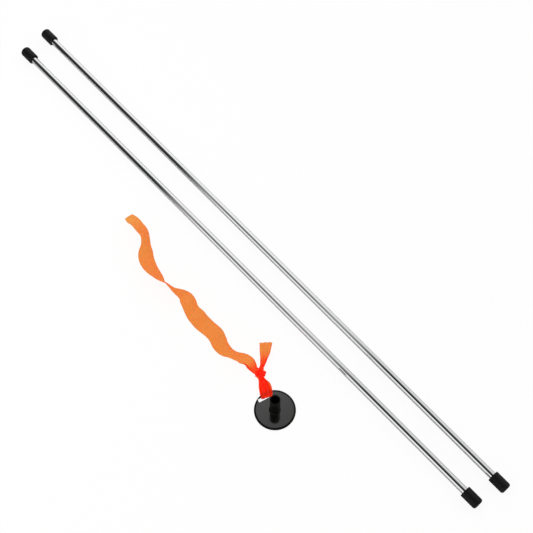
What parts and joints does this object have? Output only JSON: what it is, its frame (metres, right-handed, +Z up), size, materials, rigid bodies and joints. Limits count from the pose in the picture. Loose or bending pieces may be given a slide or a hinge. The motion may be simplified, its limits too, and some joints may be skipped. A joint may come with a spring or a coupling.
{
  "type": "golf alignment stick set",
  "caption": "Pair of chrome tube alignment sticks with black rubber end caps, and a wind flag of orange ribbon tied to a slotted disc hub that slides on a stick.",
  "frame": {"origin": "bottom centre of the whole set's box, on the surface that it lies on", "axes": "+X along the sticks, from their far ends to their near ends; +Y from the wind flag towards the sticks; +Z up"},
  "size_m": [1.2424, 0.2334, 0.0508],
  "materials": {
    "chrome_tube": "bright chrome plate on drawn steel tube",
    "black_rubber": "matte moulded rubber",
    "zinc_steel": "zinc-plated pressed washer",
    "black_plastic": "glossy moulded plastic",
    "orange_tape": "thin translucent fluorescent tape, creased"
  },
  "bodies": {
    "stick_a": {"stick_a_rod": "chrome_tube"},
    "cap_a_far": {"stick_a_cap_far": "black_rubber", "stick_a_washer_far": "zinc_steel"},
    "cap_a_near": {"stick_a_cap_near": "black_rubber", "stick_a_washer_near": "zinc_steel"},
    "cap_b_far": {"stick_b_cap_far": "black_rubber", "stick_b_washer_far": "zinc_steel"},
    "cap_b_near": {"stick_b_cap_near": "black_rubber", "stick_b_washer_near": "zinc_steel"},
    "stick_b": {"stick_b_rod": "chrome_tube"},
    "flag_hub": {"hub_disc": "black_plastic", "hub_tube": "black_plastic", "ribbon_loop": "orange_tape"},
    "ribbon": {"ribbon_tail": "orange_tape"}
  },
  "joints": [
    {"name": "cap_a_far_pull", "type": "slide", "parent": "stick_a", "child": "cap_a_far", "axis": [-1, 0, 0], "range_m": [0, 0.027]},
    {"name": "cap_a_near_pull", "type": "slide", "parent": "stick_a", "child": "cap_a_near", "axis": [1, 0, 0], "range_m": [0, 0.027]},
    {"name": "stick_b_lift", "type": "slide", "parent": "stick_a", "child": "stick_b", "axis": [0, 0, 1], "range_m": [0, 0.1]},
    {"name": "cap_b_far_pull", "type": "slide", "parent": "stick_b", "child": "cap_b_far", "axis": [-1, 0.0042, 0], "range_m": [-0.0115, 0.0155]},
    {"name": "cap_b_near_pull", "type": "slide", "parent": "stick_b", "child": "cap_b_near", "axis": [1, -0.0042, 0], "range_m": [-0.0115, 0.0155]},
    {"name": "hub_lift", "type": "slide", "parent": "stick_a", "child": "flag_hub", "axis": [0, 0, 1], "range_m": [0, 0.1]},
    {"name": "ribbon_lift", "type": "hinge", "parent": "flag_hub", "child": "ribbon", "pos_m": [0.22911, -0.06927, 0.0056], "axis": [0.5299, 0.848, 0], "range_deg": [0, 75]}
  ]
}
